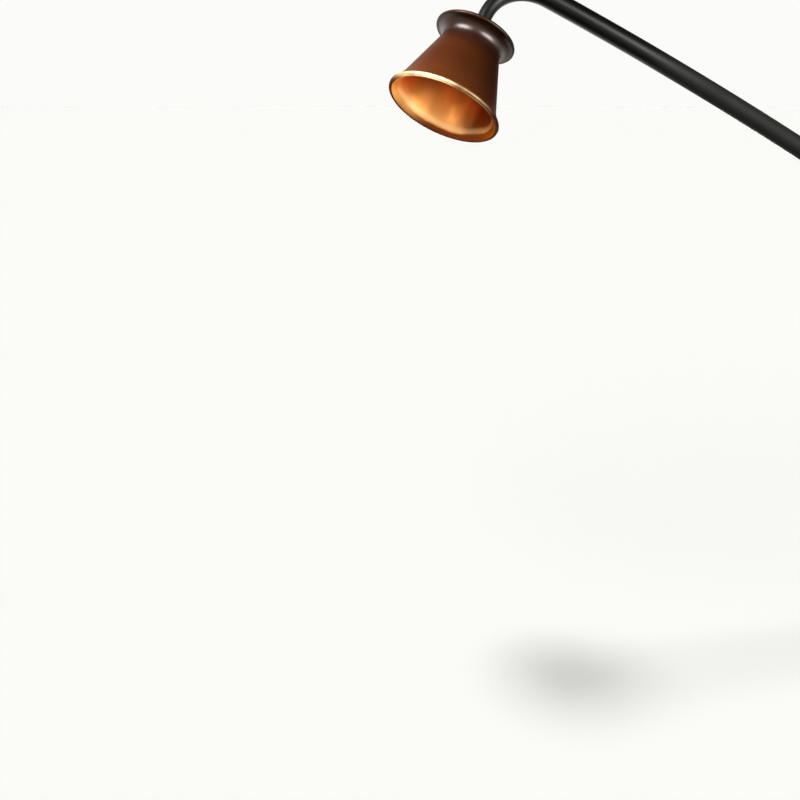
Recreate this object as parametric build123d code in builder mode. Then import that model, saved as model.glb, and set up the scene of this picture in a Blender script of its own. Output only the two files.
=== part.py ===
from build123d import *
from math import atan2, cos, degrees, isclose, pi, radians, sin, tan
import os

# A long-handled bell snuffer. The origin is the centre of the mouth, on the plane that the lip
# rests on. +Z runs up the bell's axis and +X runs out along the handle. Sizes are in millimetres
# and degrees.

# Bell: one casting, turned all over, with a beaded lip and a flanged crown. The flare and throat
# diameters are to the middle of the wall, and the throat's is at half the crown's thickness.
mouth_diameter = 50.0
bell_height = 36.3
bell_wall = 1.8
lip_bead_rise = 0.1
lip_rest_depth = 0.15
flare_start_height = 7.5
flare_start_diameter = 40.4
throat_diameter = 20.8
crown_diameter = 35.7
crown_thickness = 1.6
crown_rim_flat = 0.3
throat_fillet = 4.0
ceiling_fillet = 1.5

# Handle tube: swaged down to a thin neck, bent over in a gooseneck, bowed, then straight
neck_diameter = 6.3
neck_length = 9.0
shaft_diameter = 8.5
shaft_wall = 1.0
gooseneck_radius = 21.6
gooseneck_angle = 90.2
bow_radius = 1740.0
bow_length = 140.0
grip_length = 105.0
tube_end_chamfer = 0.2
taper_steps = 8

# Stud, nut and washers that hold the bell to the neck
thread_diameter = 4.0
thread_gap = 0.03
bolt_hole_gap = 0.15
stud_neck_gap = 0.4
stud_nut_gap = 0.8
stud_chamfer = 0.4
seat_washer_diameter = 11.0
seat_washer_thickness = 1.0
seat_washer_rounding = 0.5
flat_washer_diameter = 9.0
flat_washer_thickness = 0.8
flat_washer_chamfer = 0.15
lock_washer_diameter = 7.6
lock_washer_thickness = 0.9
lock_washer_split = 0.7
lock_washer_slant = 20.0
nut_sides = 6
nut_across_flats = 7.0
nut_hex_height = 3.2
nut_corner_slope = 30.0
nut_height = 8.0
nut_dome_step = 0.3
nut_tip_thickness = 2.0

# Plug that closes the far end of the handle
plug_spigot_length = 9.0
plug_gap = 0.02
plug_chamfer = 0.5

# How far a cutting shape runs past what it cuts
overrun = 1.0

# Places and radii that follow from the sizes above
ceiling_height = bell_height - crown_thickness
neck_foot = bell_height + seat_washer_thickness
flat_washer_foot = ceiling_height - flat_washer_thickness
nut_seat = flat_washer_foot - lock_washer_thickness
nut_thread_depth = nut_height - nut_tip_thickness
bolt_hole_radius = thread_diameter / 2 + bolt_hole_gap
thread_bore_radius = thread_diameter / 2 + thread_gap
shaft_bore_radius = shaft_diameter / 2 - shaft_wall
standing = (Align.CENTER, Align.CENTER, Align.MIN)
hanging = (Align.CENTER, Align.CENTER, Align.MAX)

os.makedirs("parts", exist_ok=True)


# Bell
# The wall follows a straight side that turns out in one arc to the lip. The lip's bead is flush with
# the wall inside, so that it stands out of the wall on the outside only.
lip_bead_radius = bell_wall / 2 + lip_bead_rise
lip_bead_middle = Vector(mouth_diameter / 2 - lip_bead_radius, lip_bead_radius - lip_rest_depth)
side_top = Vector(throat_diameter / 2, bell_height - crown_thickness / 2)
side_foot = Vector(flare_start_diameter / 2, flare_start_height)
side_lean = atan2(side_foot.X - side_top.X, side_top.Y - side_foot.Y)
side_out = Vector(cos(side_lean), sin(side_lean))
foot_to_bead = lip_bead_middle - side_foot
bead_reach = foot_to_bead.dot(side_out) - lip_bead_rise
flare_radius = (foot_to_bead.length**2 - lip_bead_rise**2) / (2 * bead_reach)
flare_middle = side_foot + side_out * flare_radius
wall_end = flare_middle + (lip_bead_middle - flare_middle).normalized() * flare_radius
crown_rim_rounding = (crown_thickness - crown_rim_flat) / 2

# The fillet under the flange is no larger than the flange's own underside leaves room for
flange_foot = side_top.X + crown_thickness / 2 * tan(side_lean) + bell_wall / 2 / cos(side_lean)
flange_room = crown_diameter / 2 - crown_rim_rounding - flange_foot
flange_fillet = min(throat_fillet, flange_room * tan(pi / 4 - side_lean / 2))


def corners_at(section, height):
    """Corners of a section at one height, from the axis outwards."""
    return section.vertices().filter_by(lambda v: isclose(v.Y, height)).sort_by(Axis.X)


with BuildPart() as bell:
    with BuildSketch(Plane.XZ) as bell_section:
        with BuildLine():
            side = Line(side_top, side_foot)
            TangentArc(side_foot, wall_end, tangent=side % 1)
        trace(line_width=bell_wall)
        with Locations(lip_bead_middle):
            Circle(lip_bead_radius)
        with Locations((0, ceiling_height)):
            Rectangle(crown_diameter / 2, crown_thickness, align=(Align.MIN, Align.MIN))
        fillet(corners_at(bell_section, ceiling_height)[2], flange_fillet)
        fillet(corners_at(bell_section, ceiling_height)[1], ceiling_fillet)
        rim_corners = bell_section.vertices().filter_by(lambda v: isclose(v.X, crown_diameter / 2))
        fillet(rim_corners, crown_rim_rounding)
    revolve(axis=Axis.Z)
    split(bisect_by=Plane.XY, keep=Keep.TOP)
    Hole(bolt_hole_radius)


# Line along the middle of the handle tube, in the plane of the gooseneck
with BuildLine(Plane.XZ):
    neck = Line((0, neck_foot), (0, neck_foot + neck_length))
    gooseneck = JernArc(neck @ 1, neck % 1, gooseneck_radius, -gooseneck_angle)
    bow = JernArc(gooseneck @ 1, gooseneck % 1, bow_radius, -degrees(bow_length / bow_radius))
    grip = Line(bow @ 1, bow @ 1 + (bow % 1) * grip_length)


def square_to(line, share):
    """Plane across the handle's line, a share of the way along one of its stretches."""
    return Plane(origin=line @ share, x_dir=(0, 1, 0), z_dir=line % share)


def round_bar(neck_radius, shaft_radius):
    """Round bar along the handle's line, which thickens smoothly round the gooseneck."""
    with BuildPart() as bar:
        with BuildSketch(square_to(neck, 0)):
            Circle(neck_radius)
        extrude(amount=neck_length)
        for step in range(taper_steps + 1):
            share = step / taper_steps
            thickened_share = share**2 * (3 - 2 * share)
            with BuildSketch(square_to(gooseneck, share)):
                Circle(neck_radius + (shaft_radius - neck_radius) * thickened_share)
        loft()
        with BuildSketch(square_to(bow, 0)):
            Circle(shaft_radius)
        sweep(path=[bow, grip])
    return bar.part


# Handle tube
handle_outside = round_bar(neck_diameter / 2, shaft_diameter / 2)
handle_bore = round_bar(thread_bore_radius, shaft_bore_radius)
with BuildPart() as handle_tube:
    add(handle_outside)
    add(handle_bore, mode=Mode.SUBTRACT)
    far_end = handle_tube.faces().filter_by(GeomType.PLANE).sort_by(Axis.X)[-1]
    chamfer(far_end.outer_wire().edges(), tube_end_chamfer)


# Plug with a half-round end
with BuildPart(square_to(grip, 1)) as end_plug:
    Sphere(shaft_diameter / 2, arc_size1=0, align=standing)
    Cylinder(shaft_bore_radius - plug_gap, plug_spigot_length, align=hanging)
    chamfer(end_plug.edges().sort_by(Axis.X)[0], plug_chamfer)


# Stud, brazed into the neck
stud_foot = nut_seat - nut_thread_depth + stud_nut_gap
stud_length = neck_foot + neck_length - stud_neck_gap - stud_foot
with BuildPart(Plane.XY.offset(stud_foot)) as neck_stud:
    Cylinder(thread_diameter / 2, stud_length, align=standing)
    chamfer(neck_stud.edges().filter_by(GeomType.CIRCLE), stud_chamfer)


# Seat washer, between the crown and the foot of the neck
with BuildPart(Plane.XY.offset(bell_height)) as seat_washer:
    Cylinder(seat_washer_diameter / 2, seat_washer_thickness, align=standing)
    fillet(seat_washer.edges().filter_by(GeomType.CIRCLE).group_by(Axis.Z)[-1], seat_washer_rounding)
    Hole(bolt_hole_radius)


# Flat washer, under the ceiling of the bell
with BuildPart(Plane.XY.offset(flat_washer_foot)) as flat_washer:
    Cylinder(flat_washer_diameter / 2, flat_washer_thickness, align=standing)
    chamfer(flat_washer.edges().filter_by(GeomType.CIRCLE), flat_washer_chamfer)
    Hole(bolt_hole_radius)


# Lock washer, a flattened ring with a slanting split
with BuildPart(Plane.XY.offset(nut_seat)) as lock_washer:
    Cylinder(lock_washer_diameter / 2, lock_washer_thickness, align=standing)
    Hole(bolt_hole_radius)
    with Locations((lock_washer_diameter / 2, 0, lock_washer_thickness / 2)):
        Box(
            lock_washer_diameter,
            lock_washer_split,
            lock_washer_thickness + 2 * overrun,
            rotation=(lock_washer_slant, 0, 0),
            mode=Mode.SUBTRACT,
        )


# Dome nut, with its corners turned off at both ends of the hexagon
nut_flat_radius = nut_across_flats / 2
nut_corner_radius = nut_flat_radius / cos(radians(180 / nut_sides))
nut_corner_drop = (nut_corner_radius - nut_flat_radius) * tan(radians(nut_corner_slope))
nut_dome_radius = nut_flat_radius - nut_dome_step
with BuildPart(Plane.XY.offset(nut_seat)) as dome_nut:
    with BuildSketch(Plane.XY.offset(nut_seat)):
        RegularPolygon(nut_flat_radius, nut_sides, major_radius=False)
    extrude(amount=-nut_hex_height)
    with BuildSketch(Plane.XZ):
        with BuildLine():
            Polyline(
                (0, nut_seat),
                (nut_flat_radius, nut_seat),
                (nut_corner_radius, nut_seat - nut_corner_drop),
                (nut_corner_radius, nut_seat - nut_hex_height + nut_corner_drop),
                (nut_flat_radius, nut_seat - nut_hex_height),
                (0, nut_seat - nut_hex_height),
                close=True,
            )
        make_face()
    revolve(axis=Axis.Z, mode=Mode.INTERSECT)
    Cylinder(nut_dome_radius, nut_height - nut_dome_radius, align=hanging)
    with Locations((0, 0, nut_dome_radius - nut_height)):
        Sphere(nut_dome_radius)
    Cylinder(thread_bore_radius, nut_thread_depth, align=hanging, mode=Mode.SUBTRACT)


for piece, name in (
    (bell, "bell"),
    (handle_tube, "handle_tube"),
    (end_plug, "end_plug"),
    (neck_stud, "neck_stud"),
    (seat_washer, "seat_washer"),
    (flat_washer, "flat_washer"),
    (lock_washer, "lock_washer"),
    (dome_nut, "dome_nut"),
):
    piece.part.label = name
    export_step(piece.part, f"parts/{name}.step")
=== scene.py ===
from math import atan2, cos, pi, radians, sin, sqrt

import bpy
from mathutils import Matrix, Vector


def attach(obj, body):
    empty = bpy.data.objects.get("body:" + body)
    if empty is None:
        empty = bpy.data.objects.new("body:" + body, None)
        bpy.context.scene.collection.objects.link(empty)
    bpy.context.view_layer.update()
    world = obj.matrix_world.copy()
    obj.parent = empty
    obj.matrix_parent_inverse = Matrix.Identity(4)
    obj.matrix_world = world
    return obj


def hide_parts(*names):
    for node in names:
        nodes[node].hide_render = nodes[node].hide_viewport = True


# A bell snuffer, in metres. The origin is the centre of the bell's mouth, +Z runs up the bell's
# axis and +X runs out along the handle.
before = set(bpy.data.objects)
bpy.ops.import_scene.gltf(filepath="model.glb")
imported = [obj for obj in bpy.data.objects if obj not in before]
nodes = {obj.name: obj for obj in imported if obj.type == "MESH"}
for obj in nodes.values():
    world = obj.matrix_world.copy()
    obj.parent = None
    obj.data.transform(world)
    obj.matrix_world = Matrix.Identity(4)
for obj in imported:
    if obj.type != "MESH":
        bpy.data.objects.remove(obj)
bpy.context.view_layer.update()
mm = 0.001

# Bell, as in the solid
mouth_radius = 25.0 * mm
bell_height = 36.3 * mm
bell_wall = 1.8 * mm
lip_bead_radius = 1.0 * mm
lip_rest_depth = 0.15 * mm
flare_start = Vector((20.2, 7.5)) * mm
throat_top = Vector((10.4, 35.5)) * mm
crown_radius = 17.85 * mm
crown_thickness = 1.6 * mm
crown_rim_rounding = 0.65 * mm
throat_fillet = 3.949 * mm
ceiling_fillet = 1.5 * mm
bolt_hole_radius = 2.15 * mm
bell_sides = 256

# Handle, as in the solid
neck_foot = 37.3 * mm
neck_length = 9.0 * mm
neck_radius = 3.15 * mm
neck_bore_radius = 2.03 * mm
shaft_radius = 4.25 * mm
shaft_wall = 1.0 * mm
gooseneck_radius = 21.6 * mm
gooseneck_angle = radians(90.2)
bow_radius = 1740.0 * mm
bow_length = 140.0 * mm
grip_length = 105.0 * mm
tube_end_chamfer = 0.2 * mm
handle_sides = 64

# Camera and studio. The snuffer is held at a slant, so the table's own directions are slanted in
# this frame.
camera_place = Vector((-27.15, -397.996, -180.823)) * mm
camera_lens = 45.0
camera_sensor = 36.0
camera_pitch = radians(16.5)
picture_right = Vector((0.89674, -0.19631, 0.39664)).normalized()
picture_up = Vector((-0.41728, -0.07650, 0.90555)).normalized()
table_drop = 0.217
table_half_width = 60.0
table_white = (0.985, 0.985, 0.965, 1)
backdrop_strength = 0.98


# Shapes

def arc(centre, radius, start, end, steps):
    """Points of a circle's arc from one angle to another, both ends included."""
    angles = [start + (end - start) * step / steps for step in range(steps + 1)]
    return [centre + radius * Vector((cos(angle), sin(angle))) for angle in angles]


def angle_of(centre, point):
    """Angle at which a point lies round a centre."""
    return atan2(point.y - centre.y, point.x - centre.x)


def circles_meeting(centre, radius, other_centre, other_radius, near):
    """The point nearest to a given one at which two circles cross."""
    apart = other_centre - centre
    reach = (radius**2 - other_radius**2 + apart.length_squared) / (2 * apart.length)
    rise = sqrt(radius**2 - reach**2)
    along = apart.normalized()
    across = Vector((-along.y, along.x))
    crossings = [centre + along * reach + across * rise * sign for sign in (1, -1)]
    return min(crossings, key=lambda point: (point - near).length)


def mesh_object(name, points, faces, looks):
    """A smooth mesh object whose faces carry the index of one of its materials."""
    mesh = bpy.data.meshes.new(name)
    mesh.from_pydata(points, [], [corners for corners, look in faces])
    mesh.polygons.foreach_set("material_index", [look for corners, look in faces])
    mesh.polygons.foreach_set("use_smooth", [True] * len(faces))
    for look in looks:
        mesh.materials.append(look)
    mesh.update()
    mesh.set_sharp_from_angle(angle=radians(35))
    piece = bpy.data.objects.new(name, mesh)
    bpy.context.scene.collection.objects.link(piece)
    return piece


def ring_faces(rings, sides, look_of):
    """Quads between closed rings of points, the last ring joined to the first."""
    faces = []
    for ring in range(rings):
        low = ring * sides
        high = (ring + 1) % rings * sides
        for side in range(sides):
            next_side = (side + 1) % sides
            corners = (low + side, low + next_side, high + next_side, high + side)
            faces.append((corners, look_of(ring)))
    return faces


def turned(name, outline, sides, looks, look_of):
    """A closed outline of radius and height, turned about the Z axis."""
    points = []
    for radius, height in outline:
        for side in range(sides):
            turn = 2 * pi * side / sides
            points.append((radius * cos(turn), radius * sin(turn), height))
    return mesh_object(name, points, ring_faces(len(outline), sides, look_of), looks)


def bell_outline():
    """The bell's section from the crown's hole round the outside to the lip and back up the inside.
    Returns its points, and the number of the first point of the inside."""
    down = (flare_start - throat_top).normalized()
    out = Vector((-down.y, down.x))
    half_wall = bell_wall / 2
    bead = Vector((mouth_radius - lip_bead_radius, lip_bead_radius - lip_rest_depth))
    chord = bead - flare_start
    bead_shift = lip_bead_radius - half_wall
    flare_radius = (chord.length_squared - bead_shift**2) / (2 * (chord.dot(out) - bead_shift))
    flare_centre = flare_start + out * flare_radius
    ceiling = bell_height - crown_thickness
    lean = atan2(down.x, -down.y)

    # Crown, from its hole over the rim to the flat under the flange
    points = [Vector((bolt_hole_radius, bell_height))]
    points += [Vector((bolt_hole_radius + (crown_radius - bolt_hole_radius) * share, bell_height))
               for share in (0.25, 0.5, 0.75)]
    rim = crown_radius - crown_rim_rounding
    points += arc(Vector((rim, bell_height - crown_rim_rounding)), crown_rim_rounding, pi / 2, 0, 8)
    points += arc(Vector((rim, ceiling + crown_rim_rounding)), crown_rim_rounding, 0, -pi / 2, 8)

    # Fillet under the flange, then the straight side and the flare
    outer_top = throat_top + out * half_wall
    outer_foot = flare_start + out * half_wall
    fillet_height = ceiling - throat_fillet
    fillet_side = outer_top + out * throat_fillet
    fillet_reach = (fillet_side.y - fillet_height) / -down.y
    fillet_centre = fillet_side + down * fillet_reach
    points += arc(fillet_centre, throat_fillet, pi / 2, pi + lean, 24)
    outer_last = points[-1]
    points += [outer_last.lerp(outer_foot, share) for share in (0.2, 0.4, 0.6, 0.8)]
    outer_radius = flare_radius - half_wall
    outer_meets = circles_meeting(flare_centre, outer_radius, bead, lip_bead_radius, outer_foot)
    points += arc(flare_centre, outer_radius, angle_of(flare_centre, outer_foot) + 2 * pi,
                  angle_of(flare_centre, outer_meets) + 2 * pi, 24)

    # Lip bead, with the narrow flat that it rests on
    flat_angle = atan2(-bead.y, sqrt(lip_bead_radius**2 - bead.y**2))
    points += arc(bead, lip_bead_radius, angle_of(bead, outer_meets), flat_angle, 20)[1:]
    inside_first = len(points)
    inner_radius = flare_radius + half_wall
    inner_meets = flare_centre + (bead - flare_centre).normalized() * inner_radius
    inner_angle = angle_of(bead, inner_meets)
    points += arc(bead, lip_bead_radius, -pi - flat_angle, inner_angle - 2 * pi * (inner_angle > 0), 12)

    # Inside of the flare and of the side, then the ceiling
    inner_foot = flare_start - out * half_wall
    inner_top = throat_top - out * half_wall
    points += arc(flare_centre, inner_radius, angle_of(flare_centre, inner_meets) + 2 * pi,
                  angle_of(flare_centre, inner_foot) + 2 * pi, 24)[1:]
    inset_height = ceiling - ceiling_fillet
    inset_side = inner_top - out * ceiling_fillet
    inset_centre = inset_side + down * ((inset_side.y - inset_height) / -down.y)
    inset_first = inset_centre + out * ceiling_fillet
    points += [inner_foot.lerp(inset_first, share) for share in (0.2, 0.4, 0.6, 0.8)]
    points += arc(inset_centre, ceiling_fillet, lean, pi / 2, 12)
    points += [Vector((bolt_hole_radius, ceiling))]
    return points, inside_first


def handle_line():
    """Places along the middle of the handle, each with its heading and its share of the taper."""
    places = []
    for share in (0, 0.25, 0.5, 0.75):
        places.append((Vector((0, 0, neck_foot + neck_length * share)), Vector((0, 0, 1)), 0))
    bend_middle = Vector((gooseneck_radius, 0, neck_foot + neck_length))
    bend_steps = 64
    for step in range(bend_steps + 1):
        share = step / bend_steps
        turn = gooseneck_angle * share
        place = bend_middle + gooseneck_radius * Vector((-cos(turn), 0, sin(turn)))
        places.append((place, Vector((sin(turn), 0, cos(turn))), share**2 * (3 - 2 * share)))
    start, heading, taper = places[-1]
    side = Vector((-heading.z, 0, heading.x))
    bow_steps = 40
    for step in range(1, bow_steps + 1):
        turn = bow_length / bow_radius * step / bow_steps
        place = start + bow_radius * (heading * sin(turn) - side * (1 - cos(turn)))
        places.append((place, heading * cos(turn) - side * sin(turn), 1))
    start, heading, taper = places[-1]
    for share in (0.25, 0.5, 0.75, 1):
        places.append((start + heading * grip_length * share, heading, 1))
    return places


def handle_tube(looks):
    """The hollow bar along the handle's line, with a small chamfer round its far end."""
    places = handle_line()
    bore_radius = shaft_radius - shaft_wall
    rings = []
    for place, heading, taper in places[:-1]:
        rings.append((place, heading, neck_radius + (shaft_radius - neck_radius) * taper))
    end, heading, taper = places[-1]
    rings.append((end - heading * tube_end_chamfer, heading, shaft_radius))
    rings.append((end, heading, shaft_radius - tube_end_chamfer))
    for place, heading, taper in reversed(places):
        rings.append((place, heading, neck_bore_radius + (bore_radius - neck_bore_radius) * taper))
    points = []
    for place, heading, radius in rings:
        across = Vector((0, 1, 0))
        over = heading.cross(across)
        for side in range(handle_sides):
            turn = 2 * pi * side / handle_sides
            points.append(place + radius * (across * cos(turn) + over * sin(turn)))
    return mesh_object("handle", points, ring_faces(len(rings), handle_sides, lambda ring: 0), looks)


# Materials

class Nodes:
    """The nodes of a material or of the world, with short ways to add those that are used here."""

    def __init__(self, owner):
        owner.use_nodes = True
        self.owner = owner
        self.tree = owner.node_tree

    def join(self, value, socket):
        """Links a value to a socket, or sets it there if it is a plain number or colour."""
        if isinstance(value, bpy.types.NodeSocket):
            self.tree.links.new(value, socket)
        else:
            socket.default_value = value

    def sum(self, operation, first, second=0.5):
        """One sum of two numbers."""
        node = self.tree.nodes.new("ShaderNodeMath")
        node.operation = operation
        self.join(first, node.inputs[0])
        self.join(second, node.inputs[1])
        return node.outputs["Value"]

    def between(self, value, low, high, start=0.0, end=1.0):
        """A value taken smoothly from start to end as another goes from low to high."""
        node = self.tree.nodes.new("ShaderNodeMapRange")
        node.interpolation_type = "SMOOTHSTEP"
        for name, given in (
            ("Value", value),
            ("From Min", low),
            ("From Max", high),
            ("To Min", start),
            ("To Max", end),
        ):
            self.join(given, node.inputs[name])
        return node.outputs["Result"]


class Look(Nodes):
    """A material's nodes."""

    def __init__(self, name):
        super().__init__(bpy.data.materials.new(name))
        self.shader = self.tree.nodes["Principled BSDF"]
        self.place = self.tree.nodes.new("ShaderNodeTexCoord").outputs["Object"]

    def set(self, **values):
        """Sets or links the shader's own sockets, named with underscores for spaces."""
        for name, value in values.items():
            self.join(value, self.shader.inputs[name.replace("_", " ")])

    def stretched(self, scale):
        """The place, with each axis scaled."""
        node = self.tree.nodes.new("ShaderNodeMapping")
        self.join(self.place, node.inputs["Vector"])
        node.inputs["Scale"].default_value = scale
        return node.outputs["Vector"]

    def noise(self, size, detail=3.0, place=None, rough=0.5):
        """Noise whose lumps are about the given size across."""
        node = self.tree.nodes.new("ShaderNodeTexNoise")
        self.join(place or self.place, node.inputs["Vector"])
        node.inputs["Scale"].default_value = 1 / size
        node.inputs["Detail"].default_value = detail
        node.inputs["Roughness"].default_value = rough
        return node.outputs["Fac"]

    def colours(self, value, *stops):
        """A colour picked along a ramp of places and colours."""
        node = self.tree.nodes.new("ShaderNodeValToRGB")
        self.join(value, node.inputs["Fac"])
        ramp = node.color_ramp
        while len(ramp.elements) < len(stops):
            ramp.elements.new(0.5)
        for element, (place, colour) in zip(ramp.elements, stops):
            element.position = place
            element.color = (*colour, 1)
        return node.outputs["Color"]

    def mixed(self, share, first, second):
        """Two colours mixed."""
        node = self.tree.nodes.new("ShaderNodeMix")
        node.data_type = "RGBA"
        self.join(share, node.inputs["Factor"])
        for value, socket in ((first, node.inputs[6]), (second, node.inputs[7])):
            self.join((*value, 1) if isinstance(value, tuple) else value, socket)
        return node.outputs[2]

    def bump(self, height, depth, under=None):
        """A normal roughened by a height of the given depth, over another if one is given."""
        node = self.tree.nodes.new("ShaderNodeBump")
        node.inputs["Distance"].default_value = depth
        self.join(height, node.inputs["Height"])
        if under:
            self.join(under, node.inputs["Normal"])
        return node.outputs["Normal"]

    def along(self, x, y, direction):
        """Distance from the Z axis along a direction in the XY plane."""
        over, back = direction
        return self.sum("ADD", self.sum("MULTIPLY", x, over), self.sum("MULTIPLY", y, back))

    def lip_highlight_side(self, x, y):
        """How much painted highlight the lip gets: a little towards -Y, and most towards -X and -Y."""
        away = self.along(x, y, lip_highlight_direction)
        front_highlight = self.between(y, -14 * mm, -23 * mm, 0.0, 0.30)
        side_highlight = self.between(away, 18 * mm, 23 * mm, 0.0, 0.70)
        return self.sum("ADD", front_highlight, side_highlight)

    def axes(self):
        """The place's X, Y and Z, and its distance from the Z axis."""
        parts = self.tree.nodes.new("ShaderNodeSeparateXYZ")
        self.join(self.place, parts.inputs["Vector"])
        x, y, z = parts.outputs
        out = self.sum("SQRT", self.sum("ADD", self.sum("MULTIPLY", x, x), self.sum("MULTIPLY", y, y)))
        return x, y, z, out


lacquer_brown = (0.142, 0.0330, 0.0070)
lacquer_deep = (0.117, 0.0265, 0.0056)
# Painted warm light near the lip, and a dark brown for specks and for painted shade in the throat and
# over the crown
warm_lit_lacquer = (0.220, 0.0560, 0.0125)
dark_lacquer_and_shade = (0.030, 0.0095, 0.0035)
# Red lacquer for the inside of the lip, kept to its far side as painted shade; pale coppers for painted
# highlights on the lip and the crest; and a brown for painted shade inside
lip_red = (0.190, 0.0390, 0.0090)
pale_copper = (0.980, 0.7600, 0.3800)
lip_highlight_copper = (0.950, 0.4800, 0.1700)
crest_highlight_copper = (0.98, 0.55, 0.23)
shade_brown = (0.09, 0.014, 0.004)
paint_deep = (0.0034, 0.0029, 0.0021)
paint_black = (0.0065, 0.0057, 0.0045)
scuff_grey = (0.035, 0.033, 0.030)

# Directions across the bell in which its painted highlights and painted shade change
lip_highlight_direction = (-0.643, -0.766)
shaded_direction = (0.985, -0.174)
shaded_lip_direction = (0.85, 0.53)


def bronze_look():
    """Brown lacquer: painted warm light near the lip, painted shade in the throat and crown, a painted
    lip highlight, a little rim wear.
    """
    look = Look("bell_bronze")
    x, y, z, out = look.axes()
    clouds = look.noise(14 * mm, 4.0)
    specks = look.noise(1.1 * mm, 2.0)
    brown = look.colours(clouds, (0.25, lacquer_deep), (0.75, lacquer_brown))
    height = look.sum("ADD", z, look.between(clouds, 0.2, 0.8, -2 * mm, 2 * mm))
    # Painted warm light, warmer towards the lip
    brown = look.mixed(look.between(height, 16 * mm, 2 * mm, 0.0, 0.8), brown, warm_lit_lacquer)
    # Painted shade, darker up through the throat and over the crown
    brown = look.mixed(look.between(height, 20 * mm, 33 * mm, 0.0, 0.85), brown, dark_lacquer_and_shade)
    # Dark specks in the lacquer
    brown = look.mixed(look.between(specks, 0.60, 0.80, 0.0, 0.35), brown, dark_lacquer_and_shade)
    patchy = look.between(look.noise(4 * mm, 4.0, rough=0.6), 0.35, 0.70, 0.75, 1.0)
    rim_height = look.between(z, 34.4 * mm, 35.2 * mm)
    on_rim = look.sum("MULTIPLY", rim_height, look.between(out, 17.5 * mm, 17.9 * mm))
    # Painted highlight on the near side of the lip, with a little real wear on the rim
    on_lip = look.between(z, 1.9 * mm, 1.1 * mm)
    highlight_and_wear = look.sum("MULTIPLY", on_lip, look.lip_highlight_side(x, y))
    highlight_and_wear = look.sum("MULTIPLY", look.sum("MAXIMUM", highlight_and_wear, look.sum("MULTIPLY", on_rim, 0.03)), patchy)
    throat_coat = look.between(z, 26 * mm, 31 * mm, 0.15, 0.50)
    crown_loss = look.between(z, 33.9 * mm, 35.2 * mm, 0.0, 0.36)
    coat = look.sum("SUBTRACT", throat_coat, crown_loss)
    coat = look.sum("MULTIPLY", coat, look.between(on_lip, 0.0, 1.0, 1.0, 0.2))
    waves = look.bump(look.noise(8 * mm, 2.0), 0.02 * mm)
    look.set(
        Base_Color=look.mixed(highlight_and_wear, brown, pale_copper),
        Metallic=look.between(highlight_and_wear, 0.0, 1.0, 0.10, 0.70),
        Roughness=look.between(clouds, 0.3, 0.8, 0.48, 0.58),
        Specular_IOR_Level=0.0,
        Coat_Weight=coat,
        Coat_Roughness=0.35,
        Normal=look.bump(look.noise(0.6 * mm, 2.0), 0.0008 * mm, waves),
    )
    return look.owner


def copper_look():
    """Bare copper inside the bell, darker towards the ceiling, with painted shade towards the handle, a
    painted highlight along the flare, and red lacquer on the lip's far side as painted shade, with a
    painted highlight on its near side.
    """
    look = Look("bell_copper")
    x, y, z = look.axes()[:3]
    streaks = look.noise(5 * mm, 5.0, look.stretched((1, 1, 0.35)), 0.6)
    streaked_height = look.sum("ADD", z, look.between(streaks, 0.2, 0.8, -2 * mm, 2 * mm))
    warm = look.colours(
        look.between(streaked_height, 0.0, bell_height),
        (0.00, (0.88, 0.38, 0.11)),
        (0.25, (0.84, 0.29, 0.062)),
        (0.55, (0.62, 0.150, 0.028)),
        (0.85, (0.16, 0.052, 0.022)),
        (1.00, (0.035, 0.020, 0.014)),
    )
    # Painted shade towards the handle side of the inside
    aside = look.along(x, y, shaded_direction)
    aside = look.sum("ADD", aside, look.between(streaks, 0.2, 0.8, -1.5 * mm, 1.5 * mm))
    painted_shade = look.between(aside, 6 * mm, 15 * mm)
    warm = look.mixed(look.sum("MULTIPLY", painted_shade, 0.86), warm, shade_brown)
    ripple = look.between(look.noise(6 * mm, 2.0), 0.2, 0.8, -0.25 * mm, 0.25 * mm)
    lip_height = look.sum("ADD", z, ripple)
    # Painted highlight along the crest of the flare, weaker in the painted shade
    crest_foot = look.between(lip_height, 1.9 * mm, 2.8 * mm)
    crest_highlight = look.sum("MULTIPLY", crest_foot, look.between(lip_height, 5.0 * mm, 3.4 * mm))
    crest_highlight = look.sum("MULTIPLY", crest_highlight, look.between(painted_shade, 0.0, 1.0, 0.8, 0.4))
    warm = look.mixed(crest_highlight, warm, crest_highlight_copper)
    # Red lacquer over the inside of the lip, kept to the far side as painted shade, and a painted
    # highlight on the near side of the lip
    far_side = look.along(x, y, shaded_lip_direction)
    lip = look.mixed(look.between(far_side, -6 * mm, 12 * mm), warm, lip_red)
    lip = look.mixed(look.lip_highlight_side(x, y), lip, lip_highlight_copper)
    look.set(
        Base_Color=look.mixed(look.between(lip_height, 2.4 * mm, 1.4 * mm), warm, lip),
        Metallic=0.8,
        Specular_IOR_Level=0.0,
        Specular_Tint=(1.0, 0.60, 0.30, 1),
        Roughness=look.between(streaks, 0.25, 0.75, 0.34, 0.41),
        Normal=look.bump(look.noise(0.7 * mm, 2.0), 0.001 * mm),
    )
    return look.owner


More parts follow.
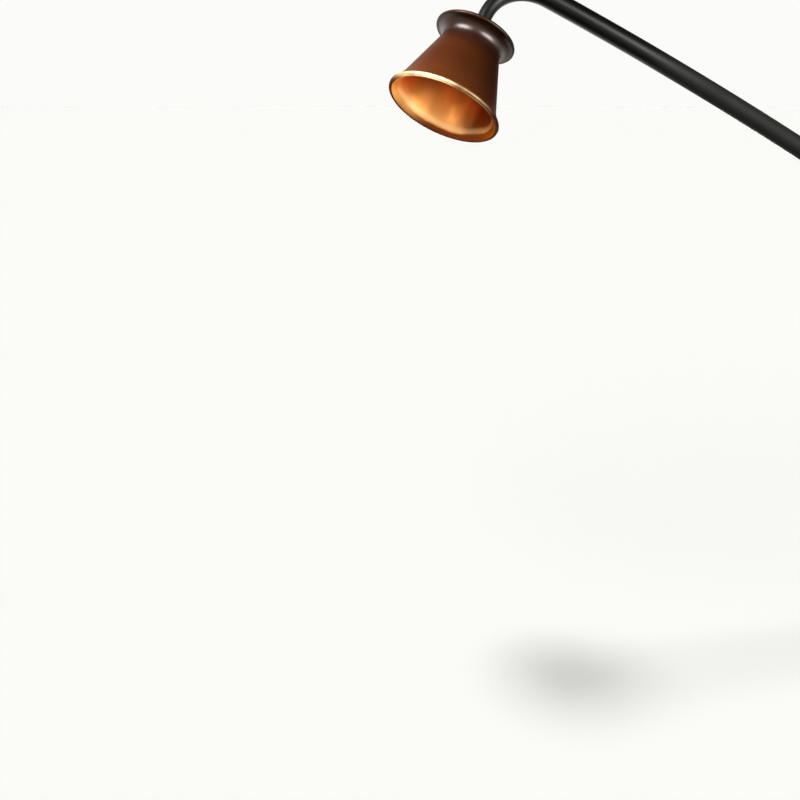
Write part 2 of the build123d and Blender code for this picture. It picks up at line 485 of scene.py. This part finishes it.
def black_look(name, shine, dull):
    """Black paint with a fine grain, between two roughnesses, duller where it is held."""
    look = Look(name)
    x = look.axes()[0]
    clouds = look.noise(22 * mm, 4.0)
    grain = look.noise(0.45 * mm, 3.0)
    scuffs = look.noise(1.6 * mm, 5.0, look.stretched((0.22, 1, 1)), 0.7)
    dulled = look.between(x, 60 * mm, 105 * mm, 0.0, 0.36)
    black = look.colours(clouds, (0.2, paint_deep), (0.8, paint_black))
    black = look.mixed(look.between(scuffs, 0.66, 0.80, 0.0, 0.30), black, scuff_grey)
    look.set(
        Base_Color=black,
        Roughness=look.sum("ADD", look.between(clouds, 0.25, 0.75, shine, dull), dulled),
        Specular_IOR_Level=0.11,
        Normal=look.bump(grain, 0.003 * mm, look.bump(look.noise(9 * mm, 2.0), 0.03 * mm)),
    )
    return look.owner


def steel_look():
    """Turned steel, dulled by soot in random patches."""
    look = Look("fastener_steel")
    rings = look.noise(0.35 * mm, 3.0, look.stretched((1, 1, 0.2)))
    soot = look.noise(2.5 * mm, 5.0, rough=0.65)
    look.set(
        Base_Color=look.colours(soot, (0.32, (0.50, 0.485, 0.46)), (0.68, (0.16, 0.145, 0.13))),
        Metallic=1.0,
        Roughness=look.between(soot, 0.3, 0.7, 0.28, 0.50),
        Normal=look.bump(rings, 0.010 * mm),
    )
    return look.owner


bronze = bronze_look()
copper = copper_look()
black = black_look("handle_black", 0.34, 0.42)
dull_black = black_look("washer_black", 0.72, 0.82)
steel = steel_look()


# Pieces

outline, inside_first = bell_outline()
bell = turned("bell_shell", outline, bell_sides, (bronze, copper), lambda ring: int(ring >= inside_first))
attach(bell, "root")
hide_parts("bell")

handle = handle_tube((black,))
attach(handle, "root")
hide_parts("handle_tube")

for name, look in (
    ("end_plug", black),
    ("seat_washer", dull_black),
    ("neck_stud", steel),
    ("flat_washer", steel),
    ("lock_washer", steel),
    ("dome_nut", steel),
):
    mesh = nodes[name].data
    mesh.materials.clear()
    mesh.materials.append(look)


# Table, lights and camera

picture_depth = picture_up.cross(picture_right)
studio_up = (picture_up * cos(camera_pitch) - picture_depth * sin(camera_pitch)).normalized()
studio_away = studio_up.cross(picture_right).normalized()
studio = Matrix((picture_right, studio_away, studio_up)).transposed()


def in_studio(right, behind, height):
    """A place given by its distances to the right of, behind and above the mouth in the picture."""
    return studio @ Vector((right, behind, height))


def aimed(thing, place, target):
    """Puts a lamp or a sheet at a place, with its own -Z turned to a target."""
    thing.location = place
    thing.rotation_euler = (place - target).to_track_quat("Z", "Y").to_euler()
    bpy.context.scene.collection.objects.link(thing)


def flat_sheet(name, half_width, material):
    """A flat square about its own origin, facing its own Z."""
    corners = [(-half_width, -half_width, 0), (half_width, -half_width, 0),
               (half_width, half_width, 0), (-half_width, half_width, 0)]
    mesh = bpy.data.meshes.new(name)
    mesh.from_pydata(corners, [], [(0, 1, 2, 3)])
    mesh.materials.append(material)
    return bpy.data.objects.new(name, mesh)


def table_look():
    """White table top, open to views from under it."""
    look = Nodes(bpy.data.materials.new("table_white"))
    tree = look.tree
    tree.nodes.remove(tree.nodes["Principled BSDF"])
    white = tree.nodes.new("ShaderNodeBsdfDiffuse")
    white.inputs["Color"].default_value = table_white
    clear = tree.nodes.new("ShaderNodeBsdfTransparent")
    side = tree.nodes.new("ShaderNodeNewGeometry")
    either = tree.nodes.new("ShaderNodeMixShader")
    look.join(side.outputs["Backfacing"], either.inputs["Fac"])
    look.join(white.outputs["BSDF"], either.inputs[1])
    look.join(clear.outputs["BSDF"], either.inputs[2])
    look.join(either.outputs["Shader"], tree.nodes["Material Output"].inputs["Surface"])
    return look.owner


def lamp(name, kind, place, target, energy, **settings):
    """A lamp at a place, facing a target."""
    data = bpy.data.lights.new(name, kind)
    data.energy = energy
    for setting, value in settings.items():
        setattr(data, setting, value)
    thing = bpy.data.objects.new(name, data)
    aimed(thing, place, target)
    return thing


def surround():
    """The studio's surround. The camera sees a plain white backdrop, gloss sees bright and dark walls
    of its own, and matt surfaces see a soft light from the upper left."""
    look = Nodes(bpy.data.worlds.new("studio"))
    heading = look.tree.nodes.new("ShaderNodeTexCoord").outputs["Generated"]
    seen_by = look.tree.nodes.new("ShaderNodeLightPath").outputs

    def toward(direction, low, high, dim, bright):
        facing = look.tree.nodes.new("ShaderNodeVectorMath")
        facing.operation = "DOT_PRODUCT"
        facing.inputs[1].default_value = direction.normalized()
        look.join(heading, facing.inputs[0])
        return look.between(facing.outputs["Value"], low, high, dim, bright)

    soft_light = toward(in_studio(-0.62, -0.40, 0.67), 0.78, 0.98, 0.07, 4.03)
    over_table = toward(in_studio(0, 0, 1), 0.24, 0.08, 0.05, 1.1)
    clear_of_foot = toward(in_studio(0, 0, 1), -0.75, -0.45, 0.06, 1.0)
    right_gap = toward(in_studio(0.85, 0.50, 0.15), 0.70, 0.95, 1.0, 0.1)
    horizon = look.sum("MULTIPLY", look.sum("MULTIPLY", over_table, clear_of_foot), right_gap)
    front_wall = toward(in_studio(-0.30, -0.93, 0.20), 0.75, 0.97, 0.05, 0.95)
    back_wall = toward(in_studio(-0.35, 0.93, 0.10), 0.60, 0.92, 0.0, 1.6)
    table_side = toward(in_studio(0.84, -0.42, -0.32), 0.80, 0.93, 0.0, 2.0)
    table_right = toward(in_studio(0.62, 0.48, -0.62), 0.82, 0.98, 0.0, 1.6)
    table_back = toward(in_studio(-0.35, 0.60, -0.70), 0.80, 0.97, 0.0, 2.6)
    walls = look.sum("ADD", look.sum("MAXIMUM", horizon, front_wall), back_wall)
    table_glow = look.sum("MAXIMUM", look.sum("MAXIMUM", table_side, table_right), table_back)
    walls = look.sum("ADD", walls, table_glow)
    in_gloss = look.sum("MULTIPLY", seen_by["Is Glossy Ray"], walls)
    in_shade = look.sum("MULTIPLY", seen_by["Is Diffuse Ray"], soft_light)
    in_view = look.sum("MAXIMUM", seen_by["Is Camera Ray"], seen_by["Is Transmission Ray"])
    plain = look.sum("MULTIPLY", in_view, backdrop_strength)
    strength = look.sum("MAXIMUM", plain, look.sum("MAXIMUM", in_gloss, in_shade))
    background = look.tree.nodes["Background"]
    background.inputs["Color"].default_value = table_white
    look.join(strength, background.inputs["Strength"])
    return look.owner


# The table is hidden from gloss and from matt surfaces, the boxes light gloss only, and gloss doesn't
# show the key lamp
bell_middle = Vector((0, 0, bell_height / 2))
table = flat_sheet("table", table_half_width, table_look())
aimed(table, in_studio(0, 0, -table_drop), in_studio(0, 0, -table_drop) - studio_up)
table.visible_diffuse = False
table.visible_glossy = False

key = lamp("key", "SUN", in_studio(-0.215, 0.40, 1.0), Vector((0, 0, 0)), 1.12, angle=radians(9))
key.visible_glossy = False
for name, place, width, height, power in (
    ("left_box", in_studio(-0.595, -0.446, 0.669), 0.70, 0.48, 54.0),
    ("right_box", in_studio(0.66, -0.74, 0.12), 0.70, 0.44, 42.0),
    ("low_box", in_studio(-0.42, -0.85, 0.32), 0.20, 0.20, 0.9),
):
    box = lamp(name, "AREA", bell_middle + place, bell_middle, power,
               shape="RECTANGLE", size=width, size_y=height)
    box.visible_diffuse = False

bpy.context.scene.world = surround()

camera_data = bpy.data.cameras.new("camera")
camera_data.lens = camera_lens
camera_data.sensor_width = camera_sensor
camera = bpy.data.objects.new("camera", camera_data)
turned_axes = Matrix((picture_right, picture_up, picture_right.cross(picture_up))).transposed()
camera.matrix_world = Matrix.Translation(camera_place) @ turned_axes.to_4x4()
bpy.context.scene.collection.objects.link(camera)
bpy.context.scene.camera = camera
bpy.context.scene.view_settings.view_transform = "Standard"
